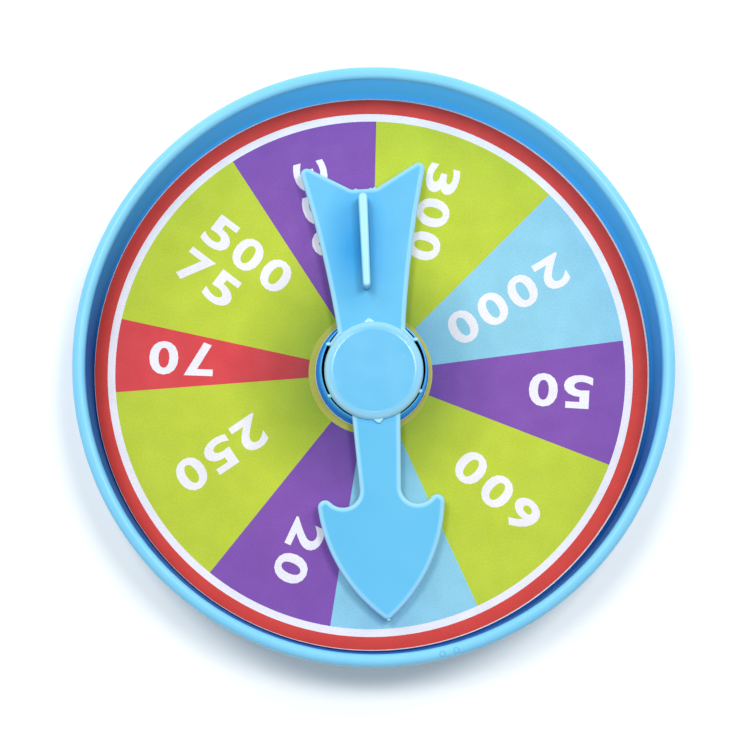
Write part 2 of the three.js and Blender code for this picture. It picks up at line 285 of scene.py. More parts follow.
def inset(outline, distance):
    """The outline moved inwards by a distance, with mitred corners."""
    moved = []
    for i, point in enumerate(outline):
        into = (point - outline[i - 1]).normalized()
        out = (outline[(i + 1) % len(outline)] - point).normalized()
        n1 = Vector((-into.y, into.x))
        n2 = Vector((-out.y, out.x))
        moved.append(point + (n1 + n2) * distance / (1 + n1.dot(n2)))
    return moved


def add_stack(bm, levels, hole=None):
    """Adds a solid through levels of (outline, height, thinness), with an optional round hole.

    The thinness is stored on the points, for the painted edge light on the milky plastic.
    """
    thin = bm.verts.layers.float.get("thin") or bm.verts.layers.float.new("thin")
    rings = []
    for outline, z, thinness in levels:
        ring = [bm.verts.new((point.x, point.y, z)) for point in outline]
        for vert in ring:
            vert[thin] = thinness
        rings.append(ring)
    count = len(rings[0])
    for low, high in zip(rings, rings[1:]):
        for i in range(count):
            j = (i + 1) % count
            bm.faces.new((low[i], low[j], high[j], high[i]))
    holes = []
    for ring, (_, z, _) in ((rings[0], levels[0]), (rings[-1], levels[-1])):
        edges = [bm.edges.get((ring[i], ring[(i + 1) % count])) for i in range(count)]
        if hole:
            circle = [bm.verts.new((p.x, p.y, z)) for p in arc(0, 0, hole, 0, 2 * math.pi, 96)[:-1]]
            holes.append(circle)
            edges += [bm.edges.new((circle[i], circle[(i + 1) % 96])) for i in range(96)]
        bmesh.ops.triangle_fill(bm, edges=edges, use_beauty=True, use_dissolve=False)
    if hole:
        for i in range(96):
            j = (i + 1) % 96
            bm.faces.new((holes[0][i], holes[0][j], holes[1][j], holes[1][i]))


def rounded_levels(outline, bottom, top, edge, steps=6, foot=0.25):
    """Levels of a plate whose upper edge is rounded over and whose lower edge is barely broken."""
    levels = [(inset(outline, foot), bottom, 1), (outline, bottom + foot, 1)]
    for k in range(steps + 1):
        a = k / steps * math.pi / 2
        height = top - edge * (1 - math.sin(a))
        inwards = edge * (1 - math.cos(a))
        levels.append((inset(outline, inwards), height, 1 - inwards / PAINTED_EDGE_LIGHT_REACH))
    levels.append((inset(outline, max(PAINTED_EDGE_LIGHT_REACH, edge + 0.01)), top, 0))
    return levels


# ---------------------------------------------------------------- materials


def srgb(code):
    """A colour from its six hex digits, as linear RGBA."""
    parts = [int(code[i : i + 2], 16) / 255 for i in (0, 2, 4)]
    linear = [c / 12.92 if c <= 0.04045 else ((c + 0.055) / 1.055) ** 2.4 for c in parts]
    return (*linear, 1.0)


class Nodes:
    """A material's node tree, with short calls for the nodes that the materials share."""

    def __init__(self, name, roughness, specular=0.5):
        self.material = bpy.data.materials.new(name)
        self.material.use_nodes = True
        self.tree = self.material.node_tree
        self.shader = self.tree.nodes["Principled BSDF"]
        self.shader.inputs["Roughness"].default_value = roughness
        self.shader.inputs["Specular IOR Level"].default_value = specular
        self.place = self.add("ShaderNodeTexCoord").outputs["Object"]

    def add(self, kind, **values):
        node = self.tree.nodes.new(kind)
        for name, value in values.items():
            setattr(node, name, value)
        return node

    def link(self, source, target):
        self.tree.links.new(source, target)

    def noise(self, size_mm, detail=3.0):
        """Noise whose features are about size_mm across."""
        node = self.add("ShaderNodeTexNoise")
        node.inputs["Scale"].default_value = 1 / (size_mm * MM)
        node.inputs["Detail"].default_value = detail
        self.link(self.place, node.inputs["Vector"])
        return node.outputs["Fac"]

    def remap(self, value, low, high, to_low, to_high):
        node = self.add("ShaderNodeMapRange")
        node.inputs["From Min"].default_value = low
        node.inputs["From Max"].default_value = high
        node.inputs["To Min"].default_value = to_low
        node.inputs["To Max"].default_value = to_high
        self.link(value, node.inputs["Value"])
        return node.outputs["Result"]

    def mix(self, factor, first, second, blend="MIX"):
        """Mixes two colours, each a tuple or a socket, by a number or a socket."""
        node = self.add("ShaderNodeMix", data_type="RGBA", blend_type=blend)
        for socket, value in ((node.inputs[0], factor), (node.inputs[6], first), (node.inputs[7], second)):
            if isinstance(value, bpy.types.NodeSocket):
                self.link(value, socket)
            else:
                socket.default_value = value
        return node.outputs[2]

    def part(self, vector, axis):
        """One component of a vector."""
        node = self.add("ShaderNodeSeparateXYZ")
        self.link(vector, node.inputs[0])
        return node.outputs[axis]

    def math(self, operation, first, second=0.0):
        """A sum on one or two numbers, each a number or a socket."""
        node = self.add("ShaderNodeMath", operation=operation)
        for socket, value in ((node.inputs[0], first), (node.inputs[1], second)):
            if isinstance(value, bpy.types.NodeSocket):
                self.link(value, socket)
            else:
                socket.default_value = value
        return node.outputs[0]

    def oval(self, spot_mm, radii_mm):
        """How far a point is from a spot, as a share of the radii along X, Y and Z."""
        node = self.add("ShaderNodeMapping", vector_type="TEXTURE")
        node.inputs["Location"].default_value = [value * MM for value in spot_mm]
        node.inputs["Scale"].default_value = [value * MM for value in radii_mm]
        self.link(self.place, node.inputs["Vector"])
        length = self.add("ShaderNodeVectorMath", operation="LENGTH")
        self.link(node.outputs["Vector"], length.inputs[0])
        return length.outputs["Value"]

    def ring_mark(self, spot_mm, radius_mm, width_mm):
        """1 along a small circle round a spot, 0 elsewhere."""
        node = self.add("ShaderNodeVectorMath", operation="DISTANCE")
        node.inputs[1].default_value = [value * MM for value in spot_mm]
        self.link(self.place, node.inputs[0])
        off = self.math("ABSOLUTE", self.math("SUBTRACT", node.outputs["Value"], radius_mm * MM))
        return self.remap(off, width_mm * MM / 4, width_mm * MM / 2, 1, 0)

    def specks(self, spacing_mm, size_mm, seed):
        """1 on sparse round specks of about size_mm, 0 elsewhere."""
        shift = self.add("ShaderNodeVectorMath", operation="ADD")
        shift.inputs[1].default_value = (seed * MM, seed * MM * 0.7, 0)
        self.link(self.place, shift.inputs[0])
        cells = self.add("ShaderNodeTexVoronoi", feature="F1")
        cells.inputs["Scale"].default_value = 1 / (spacing_mm * MM)
        self.link(shift.outputs[0], cells.inputs["Vector"])
        edge = size_mm / spacing_mm / 2
        return self.remap(cells.outputs["Distance"], edge * 0.6, edge, 1, 0)

    def bump(self, height, distance_mm, strength=1.0, below=None):
        node = self.add("ShaderNodeBump")
        node.inputs["Strength"].default_value = strength
        node.inputs["Distance"].default_value = distance_mm * MM
        self.link(height, node.inputs["Height"])
        if below:
            self.link(below, node.inputs["Normal"])
        return node.outputs["Normal"]

    def finish(self, colour, normal, roughness=None):
        self.link(colour, self.shader.inputs["Base Color"])
        self.link(normal, self.shader.inputs["Normal"])
        if roughness:
            self.link(roughness, self.shader.inputs["Roughness"])
        return self.material


def moulded(n, base, pale, glow, rougher, raised=None):
    """Finishes a moulded plastic: dust specks, a fine tooth, slow ripples and an uneven gloss.

    The glow is a painted glow, emission standing in for the light that comes through the milky plastic, and
    rougher adds to the roughness.
    """
    n.link(glow, n.shader.inputs["Emission Color"])
    n.shader.inputs["Emission Strength"].default_value = 1.0
    dust = n.mix(n.specks(5.5, 0.22, 3.0), base, srgb(pale))
    tooth = n.remap(n.noise(0.5, 2.0), 0.3, 0.7, 0, 1)
    rough = n.math("ADD", n.remap(n.noise(6, 4.0), 0.3, 0.7, 0.17, 0.25), rougher)
    ripple = n.bump(n.noise(9, 2.0), 0.05, 0.12)
    if raised:
        ripple = n.bump(raised, 0.12, 1.0, ripple)
    return n.finish(dust, n.bump(tooth, 0.004, 1.0, ripple), rough)


def arrow_plastic(name, specular):
    """Milky light blue polypropylene, with painted light: a paler painted edge light and a painted glow near
    its rounded-over edges, a painted lighter top on the fin, and painted shade on the tail beside the fin.
    """
    n = Nodes(name, 0.35, specular)
    cloud = n.remap(n.noise(22, 2.0), 0.35, 0.65, 0, 1)
    face = n.mix(cloud, srgb(ARROW_DEEP), srgb(ARROW_FACE))
    # painted shade on the tail, mostly left of the fin
    beside_fin = n.remap(n.oval(*LEFT_OF_FIN), 1.0, 0.15, 0, 0.95)
    behind_fin = n.remap(n.oval(*RIGHT_OF_FIN), 1.0, 0.1, 0, 0.25)
    tail = n.mix(n.math("MAXIMUM", beside_fin, behind_fin), face, srgb(TAIL_PAINTED_SHADE))
    # painted edge light: paler near the rounded-over edges
    thinness = n.add("ShaderNodeAttribute", attribute_name="thin").outputs["Fac"]
    edge = n.remap(thinness, 0, 0.75, 0, 0.8)
    # painted light: the fin is painted lighter towards its top
    fin = n.remap(n.part(n.place, "Z"), 15.0 * MM, 17.2 * MM, 0, 1)
    thin = n.mix(edge, tail, srgb(ARROW_PAINTED_EDGE_LIGHT_AND_DUST))
    # painted glow on the edges and the fin's top
    glow = n.mix(n.math("MAXIMUM", edge, fin), (0, 0, 0, 1), ARROW_PAINTED_GLOW)
    return moulded(n, n.mix(fin, thin, srgb(FIN_TOP_PAINTED_LIGHT)), ARROW_PAINTED_EDGE_LIGHT_AND_DUST, glow, 0.0)


def tray_plastic():
    """The same plastic in the tray: pale on the lip, with painted shade on the dish walls (darker towards
    the card), in the gap round the collar and in the well, and a painted glow on the lip, on the walls
    towards the top of the dial and on the collar.
    """
    n = Nodes("tray_plastic", 0.35, 0.15)
    cloud = n.remap(n.noise(22, 2.0), 0.35, 0.65, 0, 1)
    lip = n.mix(cloud, srgb(LIP_DEEP), srgb(LIP_FACE))
    rim_top = heights("base_tray")[1]
    height = n.part(n.place, "Z")
    depth = n.remap(height, (rim_top - 0.35) * MM, (rim_top - 2.3) * MM, 0, 1)
    # painted shade: the dish walls darken towards the card
    lower = n.remap(height, (rim_top - 3.4) * MM, heights("dial_card")[1] * MM, 0, 1)
    from_axis = n.add("ShaderNodeVectorMath", operation="LENGTH")
    flat = n.add("ShaderNodeVectorMath", operation="MULTIPLY")
    flat.inputs[1].default_value = (1, 1, 0)
    n.link(n.place, flat.inputs[0])
    n.link(flat.outputs[0], from_axis.inputs[0])
    dish = reach("base_tray") - RIM_WIDTH
    inside = n.remap(from_axis.outputs["Value"], (dish + 1.0) * MM, (dish + 0.1) * MM, 0, 1)
    wall = n.mix(lower, srgb(WALL_PAINTED_SHADE_UPPER), srgb(WALL_PAINTED_SHADE_LOWER))
    on_collar = n.remap(from_axis.outputs["Value"], (COLLAR_RADIUS + 0.2) * MM, COLLAR_RADIUS * MM, 0, 1)
    in_well = n.remap(from_axis.outputs["Value"], (COLLAR_BORE + 0.1) * MM, COLLAR_BORE * MM, 0, 1)
    at_hub = n.remap(from_axis.outputs["Value"], 18 * MM, 16 * MM, 0, 1)
    # painted shade in the gap round the collar, and near-black painted shade in the well
    round_hub = n.mix(on_collar, srgb(HUB_GAP_PAINTED_SHADE), srgb(COLLAR_FACE))
    wall = n.mix(in_well, n.mix(at_hub, wall, round_hub), srgb(WELL_PAINTED_SHADE))
    below = n.mix(inside, srgb(SKIRT), wall)
    marks = None
    for bearing in GATE_MARKS:
        spot = towards(bearing) * (reach("base_tray") - 1.35)
        mark = n.ring_mark((spot.x, spot.y, rim_top), 0.62, 0.24)
        marks = mark if marks is None else n.math("MAXIMUM", marks, mark)
    coloured = n.mix(depth, lip, below)
    # painted glow on the dish walls, stronger towards the top of the dial, and a fainter painted glow on the
    # lip
    lean = n.add("ShaderNodeVectorMath", operation="DOT_PRODUCT")
    lean.inputs[1].default_value = (0.22, 0.97, 0)
    n.link(n.place, lean.inputs[0])
    towards_top = n.remap(lean.outputs["Value"], -10 * MM, 64 * MM, 0, 1)
    deep = n.math("MULTIPLY", depth, inside)
    lit = n.math("MULTIPLY", n.math("SUBTRACT", deep, in_well), towards_top)
    glow = n.mix(lit, n.mix(deep, LIP_PAINTED_GLOW, (0, 0, 0, 1)), TOP_WALL_PAINTED_GLOW)
    # painted glow on the collar's top
    dome = n.remap(from_axis.outputs["Value"], COLLAR_RADIUS * MM, (COLLAR_BORE + 0.2) * MM, 0.3, 1)
    glow = n.mix(n.math("MULTIPLY", dome, n.math("SUBTRACT", on_collar, in_well)), glow, COLLAR_PAINTED_GLOW)
    rougher = n.math("MULTIPLY", deep, 0.5)
    return moulded(n, n.mix(marks, coloured, srgb(LIP_DEEP)), LIP_FACE, glow, rougher, marks)


def printed(name, colour):
    """Ink on a matt laminated sheet: fine paper grain, faint mottle and a few specks."""
    full = srgb(colour)
    deep = (*[channel * 0.93 for channel in full[:3]], 1)
    speck = (*[channel * 0.35 for channel in full[:3]], 1)
    n = Nodes(name, 0.5, 0.12)
    mottle = n.remap(n.noise(7, 3.0), 0.35, 0.65, 0, 1)
    grain = n.remap(n.noise(0.4, 2.0), 0.35, 0.65, 0, 1)
    ink = n.mix(mottle, deep, full)
    near_hub = n.remap(n.oval((-2.0, -1.5, 6.0), (33.0, 33.0, 33.0)), 1.0, 0.35, 0, 1)
    ink = n.mix(near_hub, ink, HUB_SHADE, "MULTIPLY")
    grained = n.mix(grain, ink, (0.9, 0.9, 0.9, 1), "MULTIPLY")
    speckled = n.mix(n.specks(9.0, 0.3, 1.0), grained, speck)
    fibre = n.bump(n.noise(0.6, 4.0), 0.012, 0.7)
    rough = n.remap(n.noise(4, 3.0), 0.3, 0.7, 0.45, 0.6)
    return n.finish(speckled, fibre, rough)


def board(name):
    """The cut edge and back of pale greyboard, with fibre layers."""
    n = Nodes(name, 0.85, 0.2)
    stretched = n.add("ShaderNodeMapping")
    stretched.inputs["Scale"].default_value = (1, 1, 8)
    n.link(n.place, stretched.inputs["Vector"])
    n.place = stretched.outputs["Vector"]
    layers = n.remap(n.noise(0.8, 5.0), 0.3, 0.7, 0, 1)
    return n.finish(n.mix(layers, srgb("dcd8d2"), srgb("f4f2ee")), n.bump(layers, 0.03, 0.8))


def foam(name):
    """Dark closed-cell foam."""
    n = Nodes(name, 0.9, 0.2)
    cells = n.add("ShaderNodeTexVoronoi", feature="F1")
    cells.inputs["Scale"].default_value = 1 / (0.35 * MM)
    n.link(n.place, cells.inputs["Vector"])
    tone = n.mix(n.noise(1.5), srgb("232527"), srgb("36393c"))
    return n.finish(tone, n.bump(cells.outputs["Distance"], 0.08, 0.8))


def nylon(name):
    """Natural nylon, faintly mottled."""
    n = Nodes(name, 0.45)
    tone = n.mix(n.noise(2.0), srgb("e9e8e0"), srgb("f6f5f0"))
    return n.finish(tone, n.bump(n.noise(0.3), 0.01, 0.6))


def plated_steel(name):
    """Zinc-plated steel with fine turning marks."""
    n = Nodes(name, 0.3)
    n.shader.inputs["Metallic"].default_value = 1.0
    tone = n.mix(n.noise(1.2), srgb("a9adb2"), srgb("cfd2d6"))
    rough = n.remap(n.noise(0.4), 0.3, 0.7, 0.22, 0.4)
    return n.finish(tone, n.bump(n.noise(0.12), 0.006, 0.5), rough)


def paper_tape(name):
    """Cream double-sided tape with creases in its liner."""
    n = Nodes(name, 0.7, 0.25)
    tone = n.mix(n.noise(3.0), srgb("ded6bf"), srgb("efe9d8"))
    return n.finish(tone, n.bump(n.noise(1.0, 5.0), 0.03, 0.6))


# ---------------------------------------------------------------- the pieces


def tray_profile():
    """The tray's section, from the middle of its underside round to the screw's hole."""
    outer = reach("base_tray")
    low, rim_top = heights("base_tray")
    floor_bottom = heights("foot_pad_1")[1]
    floor_top = heights("card_tape")[0]
    card_top = heights("dial_card")[1]
    collar_top = card_top + COLLAR_RISE
    dome = quarter(COLLAR_RADIUS, card_top, COLLAR_BORE + 0.12, collar_top)
    shoulder_top = heights("pivot_bush")[0]
    dish = outer - RIM_WIDTH
    skirt = outer - 1.0
    boss = COLLAR_RADIUS + 0.85
    ring_rib = RING_RIB_RADIUS + RIB_THICKNESS
    underside_and_rim = filleted(
        [
            (0, RIB_BOTTOM, 0),
            (boss - 0.1, RIB_BOTTOM, 0.3),
            (boss, floor_bottom, 0.4),
            (RING_RIB_RADIUS, floor_bottom, 0.3),
            (RING_RIB_RADIUS, RIB_BOTTOM, 0.2),
            (ring_rib, RIB_BOTTOM, 0.2),
            (ring_rib, floor_bottom, 0.3),
            (skirt - WALL_THICKNESS, floor_bottom, 0.6),
            (skirt - WALL_THICKNESS + 0.1, low, 0.4),
            (skirt, low, 0.6),
            (skirt + 0.3, rim_top - 3.9, 0.6),
            (outer, rim_top - 3.0, 0.5),
            (outer, rim_top, 1.55),
            (dish, rim_top, 1.15),
            (dish - 0.02, rim_top - 3.3, 0.4),
            (dish - 0.15, rim_top - 3.8, 0.5),
            (dish - 0.15, floor_top, 0),
        ]
    )
    collar_and_post = filleted(
        [
            (COLLAR_RADIUS, floor_top, 0),
            (COLLAR_RADIUS, floor_top + 0.2, 0),
            *[(point.x, point.y, 0) for point in dome],
            (COLLAR_BORE, collar_top - 0.12, 0),
            (COLLAR_BORE, WELL_FLOOR, 0.4),
            (SHOULDER_RADIUS, WELL_FLOOR, 0.4),
            (SHOULDER_RADIUS, shoulder_top, 0.2),
            (SCREW_HOLE_RADIUS, shoulder_top, 0.15),
            (SCREW_HOLE_RADIUS, RIB_BOTTOM + 0.6, 0),
            (0, RIB_BOTTOM + 0.6, 0),
        ]
    )
    return underside_and_rim + collar_and_post


def add_rib(bm, turn):
    """A radial rib under the floor, with a rounded lower edge."""
    start = COLLAR_RADIUS + 0.4
    end = reach("base_tray") - WALL_THICKNESS - 0.5
    half = RIB_THICKNESS / 2
    top = heights("foot_pad_1")[1] + 0.5
    section = filleted(
        [(-half - 0.15, top, 0), (-half, RIB_BOTTOM, 0.35), (half, RIB_BOTTOM, 0.35), (half + 0.15, top, 0)],
        4,
    )
    spin = Matrix.Rotation(turn, 3, "Z")
    ends = [[bm.verts.new(spin @ Vector((x, p.x, p.y))) for p in section] for x in (start, end)]
    for i in range(len(section)):
        j = (i + 1) % len(section)
        bm.faces.new((ends[0][i], ends[0][j], ends[1][j], ends[1][i]))
    bm.faces.new(ends[0])
    bm.faces.new(ends[1])


def make_tray(material):
    bm = bmesh.new()
    add_turned(bm, tray_profile(), 256)
    for i in range(RIB_COUNT):
        add_rib(bm, (i + 0.5) * 2 * math.pi / RIB_COUNT)
    piece("tray", mesh_from("tray", bm), [material], "base", "tray_plastic", "base_tray")


def bearings():
    """Bearings round the dial in degrees, close together and with one at each sector's start."""
    found = []
    starts = [start for start, _ in SECTORS]
    for index, start in enumerate(starts):
        end = starts[(index + 1) % len(starts)]
        width = (end - start) % 360
        steps = math.ceil(width / 2)
        found += [(start + width * k / steps, index) for k in range(steps)]
    return found


def make_card(inks, edge_material):
    """The card: rings and sectors of its print are separate faces, so their borders are crisp."""
    bottom, top = heights("dial_card")
    outer = reach("dial_card")
    hole = CARD_HOLE_RADIUS
    break_edge = 0.12
    slots = ["yellow", "green", "sky", "purple", "red", "white", "border"]
    cut = middle("dial_card")
    rings = [
        (hole, bottom, cut, None),
        (hole, top - break_edge, cut, "board"),
        (hole + break_edge, top, cut, "board"),
        (YELLOW_RADIUS, top, PRINT_CENTRE, "yellow"),
        (SECTOR_RADIUS, top, PRINT_CENTRE, "sector"),
        (WHITE_RADIUS, top, PRINT_CENTRE, "white"),
        (outer - 0.28, top, cut + Vector((-0.14, -0.06)), "border"),
        (outer - 0.06, top - 0.04, cut, "board"),
        (outer, top - 0.16, cut, "board"),
        (outer, bottom, cut, "board"),
        (hole, bottom, cut, "board"),
    ]
    marks = bearings()
    bm = bmesh.new()
    loops = []
    for radius, z, centre, _ in rings[:-1]:
        loop = []
        for bearing, _ in marks:
            spot = centre + towards(bearing) * radius
            loop.append(bm.verts.new((spot.x, spot.y, z)))
        loops.append(loop)
    loops.append(loops[0])
    for low, high, (_, _, _, region) in zip(loops, loops[1:], rings[1:]):
        for i, (_, sector) in enumerate(marks):
            j = (i + 1) % len(marks)
            face = bm.faces.new((low[i], low[j], high[j], high[i]))
            ink = SECTORS[sector][1] if region == "sector" else region
            face.material_index = slots.index(ink) if ink in slots else len(slots)
    materials = [inks[name] for name in slots] + [edge_material]
    piece("dial_card_printed", mesh_from("dial", bm), materials, "base", "printed_card", "dial_card")


def digit_mesh(digit):
    """One numeral as a flat mesh, centred, with the dial's numeral height and width."""
    curve = bpy.data.curves.new("digit", "FONT")
    curve.body = digit
    curve.offset = 0.028
    curve.resolution_u = 4
    holder = bpy.data.objects.new("digit", curve)
    bpy.context.scene.collection.objects.link(holder)
    bpy.context.view_layer.update()
    evaluated = holder.evaluated_get(bpy.context.evaluated_depsgraph_get())
    mesh = bpy.data.meshes.new_from_object(evaluated)
    bpy.data.objects.remove(holder)
    bpy.data.curves.remove(curve)
    xs = [v.co.x for v in mesh.vertices]
    ys = [v.co.y for v in mesh.vertices]
    stretch = Matrix.Diagonal(
        (NUMERAL_WIDTH / (max(xs) - min(xs)), NUMERAL_HEIGHT / (max(ys) - min(ys)), 1, 1)
    )
    centred = Matrix.Translation((-(max(xs) + min(xs)) / 2, -(max(ys) + min(ys)) / 2, 0))
    mesh.transform(stretch @ centred)
    return mesh


def make_numerals(ink):
    """The numerals, printed on the card."""
    top = heights("dial_card")[1]
    digits = {digit: digit_mesh(digit) for digit in sorted(set("".join(n[0] for n in NUMERALS)))}
    bm = bmesh.new()
    for text, distance, bearing, reading in NUMERALS:
        spot = PRINT_CENTRE + towards(bearing) * distance
        turn = Matrix.Rotation(math.radians(90 - reading), 4, "Z")
        for i, digit in enumerate(text):
            along = (i - (len(text) - 1) / 2) * NUMERAL_PITCH
            placed = Matrix.Translation((spot.x, spot.y, top + INK_LIFT)) @ turn
            copy = digits[digit].copy()
            copy.transform(placed @ Matrix.Translation((along, 0, 0)))
            bm.from_mesh(copy)
            bpy.data.meshes.remove(copy)
    for mesh in digits.values():
        bpy.data.meshes.remove(mesh)
    mesh = bpy.data.meshes.new("numerals")
    bm.to_mesh(mesh)
    bm.free()
    piece("dial_numerals", mesh, [ink], "base", "printed_card")


def arrow_half():
    """The right half of the arrow's outline, from its tip to the notch in its tail."""
    side_x, side_y, side_r = HEAD_SIDE
    tip_y = side_y - math.sqrt((side_r - TIP_RADIUS) ** 2 - side_x**2)
    tip_angle = math.atan2(tip_y - side_y, -side_x)
    barb_y = side_y - math.sqrt((side_r - BARB_RADIUS) ** 2 - (BARB_X - side_x) ** 2)
    barb_angle = math.atan2(barb_y - side_y, BARB_X - side_x)
    across = BARB_X - ARMPIT_X
    along = math.sqrt((BARB_RADIUS + ARMPIT_RADIUS) ** 2 - across**2)
    hub_angle = math.acos(SHAFT_AT_HUB / HUB_PLATE_RADIUS)
    tail_angle = math.acos(TAIL_AT_HUB / HUB_PLATE_RADIUS)
    tail_x, tail_y, tail_r = TAIL_TIP
    arm_angle = math.pi / 2 + NOTCH_SLOPE
    arm_end = Vector((tail_x + tail_r * math.cos(arm_angle), tail_y + tail_r * math.sin(arm_angle)))
    notch_y = arm_end.y - (arm_end.x - NOTCH_HALF_WIDTH) * math.tan(NOTCH_SLOPE)
    side_start = Vector((TAIL_AT_HUB, HUB_PLATE_RADIUS * math.sin(tail_angle)))
    side_end = Vector(
        (tail_x + tail_r * math.cos(TAIL_SIDE_SLOPE), tail_y - tail_r * math.sin(TAIL_SIDE_SLOPE))
    )
    bend = Vector(TAIL_SIDE_BEND)

    points = arc(0, tip_y, TIP_RADIUS, -math.pi / 2, tip_angle, 8)
    points += arc(side_x, side_y, side_r, tip_angle, barb_angle, 28)[1:]
    points += arc(BARB_X, barb_y, BARB_RADIUS, barb_angle, math.atan2(along, -across), 14)[1:]
    points += arc(ARMPIT_X, barb_y + along, ARMPIT_RADIUS, math.atan2(-along, across), -math.pi, 18)[1:]
    points += arc(0, 0, HUB_PLATE_RADIUS, -hub_angle, WINDOW_FROM, 12)
    points += arc(0, 0, WINDOW_RADIUS, WINDOW_FROM, WINDOW_TO, 20)
    points.append(Vector((math.cos(WINDOW_TO), math.sin(WINDOW_TO))) * HUB_PLATE_RADIUS)
    points.append(Vector((TAIL_AT_HUB, HUB_PLATE_RADIUS * math.sin(tail_angle))))
    for k in range(1, 25):
        t = k / 24
        points.append(side_start * (1 - t) ** 2 + bend * 2 * t * (1 - t) + side_end * t**2)
    points += arc(tail_x, tail_y, tail_r, -TAIL_SIDE_SLOPE, arm_angle, 12)[1:]
    points += arc(NOTCH_HALF_WIDTH, notch_y + 1.6, 1.6, -math.pi / 2 + NOTCH_SLOPE, -math.pi / 2, 5)
    return points


def add_fin(bm, root, top):
    """The upright fin on the tail, thicker at its outer end, with a fillet at its foot."""
    outline = arc(0, FIN_START + FIN_THIN / 2, FIN_THIN / 2, math.pi, 2 * math.pi, 12)
    outline += arc(0, FIN_END - FIN_THICK / 2, FIN_THICK / 2, 0, math.pi, 12)
    lean = Matrix.Rotation(FIN_SKEW, 2)
    pivot = Vector((0, (FIN_START + FIN_END) / 2))
    outline = [lean @ (p - pivot) + pivot + Vector((FIN_OFFSET, 0)) for p in outline]
    # painted edge light on the fin's rounded top only, none at its foot
    levels = [(inset(outline, -0.5), root - 0.3, 0)]
    for k in range(5):
        a = k / 4 * math.pi / 2
        levels.append((inset(outline, -0.5 * (1 - math.sin(a))), root + 0.5 * (1 - math.cos(a)), 0))
    edge = 0.5
    for k in range(7):
        a = k / 6 * math.pi / 2
        levels.append((inset(outline, 0.1 + edge * (1 - math.cos(a))), top - edge * (1 - math.sin(a)), 1))
    add_stack(bm, levels)


def add_nub(bm, x, y, z, size):
    """A speck of moulding flash."""
    thin = bm.verts.layers.float["thin"]
    nub = bmesh.ops.create_icosphere(bm, subdivisions=2, radius=size)
    for vert in nub["verts"]:
        # the flash gets the full painted edge light
        vert[thin] = 1
        vert.co = Vector((vert.co.x * 1.5 + x, vert.co.y + y, vert.co.z * 0.6 + z))


def make_pointer(material):
    barrel_bottom, fin_top = heights("pointer")
    plate_bottom = fin_top - FIN_HEIGHT - PLATE_THICKNESS
    plate_top = plate_bottom + PLATE_THICKNESS
    right = arrow_half()
    left = [Vector((-p.x, p.y)) for p in reversed(right[1:])]
    outline = right + left
    bm = bmesh.new()
    add_stack(bm, rounded_levels(outline, plate_bottom, plate_top, EDGE_ROUND), hole=POCKET_RADIUS)
    add_fin(bm, plate_top, fin_top)
    barrel = filleted(
        [
            (BORE_RADIUS, barrel_bottom, 0.15),
            (BARREL_RADIUS, barrel_bottom, 0.4),
            (BARREL_RADIUS, plate_bottom + 0.3, 0),
            (POCKET_RADIUS, plate_bottom + 0.3, 0),
            (POCKET_RADIUS, POCKET_FLOOR, 0.3),
            (BORE_RADIUS, POCKET_FLOOR, 0.15),
        ],
        4,
    )
    add_turned(bm, barrel, 96, closed=True)
    flash = [(-1.9, 42.8, 0.34), (-0.6, 42.6, 0.26), (1.7, 42.8, 0.34), (2.6, 43.0, 0.24), (0.2, -59.2, 0.3)]
    for angle in (WINDOW_FROM - 0.02, WINDOW_TO + 0.02):
        for side in (-1, 1):
            reach_out = HUB_PLATE_RADIUS + 0.1
            flash.append((side * reach_out * math.cos(angle), reach_out * math.sin(angle), 0.44))
    for x, y, size in flash:
        add_nub(bm, x, y, plate_top - 0.75, size)
    bm.transform(Matrix.Rotation(ARROW_TURN, 4, "Z"))
    piece("arrow", mesh_from("arrow", bm), [material], "arrow", "arrow_plastic", "pointer")


def make_cap(material):
    """The hub cap, with its press-in ring and the two points on its edge."""
    low, top = heights("hub_cap")
    seam = low + PLUG_DEPTH
    profile = filleted(
        [
            (0, seam + 0.8, 0),
            (PLUG_RADIUS - 1.2, seam + 0.8, 0.3),
            (PLUG_RADIUS - 1.2, low, 0.15),
            (PLUG_RADIUS, low, 0.2),
            (PLUG_RADIUS, seam, 0.1),
            (CAP_RADIUS - 0.1, seam, 0.15),
            (CAP_RADIUS, top, CAP_ROUND),
            (CAP_FLAT, top, 0),
            (0, top, 0),
        ],
        8,
    )
    bm = bmesh.new()
    thin = bm.verts.layers.float.new("thin")
    add_turned(bm, profile, 128)
    # painted edge light on the cap's rounded rim, outside CAP_FLAT
    for vert in bm.verts:
        vert[thin] = (vert.co.xy.length - CAP_FLAT) / (CAP_RADIUS - CAP_FLAT)
    for turn in (0, math.pi):
        lug = [Vector((-1.7, CAP_RADIUS - 0.6)), Vector((1.7, CAP_RADIUS - 0.6)), Vector((0.25, LUG_REACH))]
        lug.append(Vector((-0.25, LUG_REACH)))
        spin = Matrix.Rotation(turn, 2)
        outline = [spin @ p for p in lug]
        levels = rounded_levels(outline, seam, seam + 0.75, 0.25, 3, 0.05)[:-1]
        # the lugs get the full painted edge light
        add_stack(bm, [(shape, z, 1) for shape, z, _ in levels])
    place = Matrix.Translation((*CAP_PLACE, 0))
    bm.transform(Matrix.Rotation(ARROW_TURN, 4, "Z") @ place @ Matrix.Rotation(CAP_TURN, 4, "Z"))
    piece("cap", mesh_from("cap", bm), [material], "arrow", "arrow_plastic", "hub_cap")


def make_pads(material):
    for i in range(1, 5):
        node = f"foot_pad_{i}"
        top = heights(node)[1]
        bm = bmesh.new()
        profile = filleted([(0, 0, 0), (reach(node), 0, 0.5), (reach(node), top, 0.3), (0, top, 0)])
        add_turned(bm, profile, 64)
        bm.transform(Matrix.Translation((*middle(node), 0)))
        piece(f"pad_{i}", mesh_from("pad", bm), [material], "base", "foam", node)


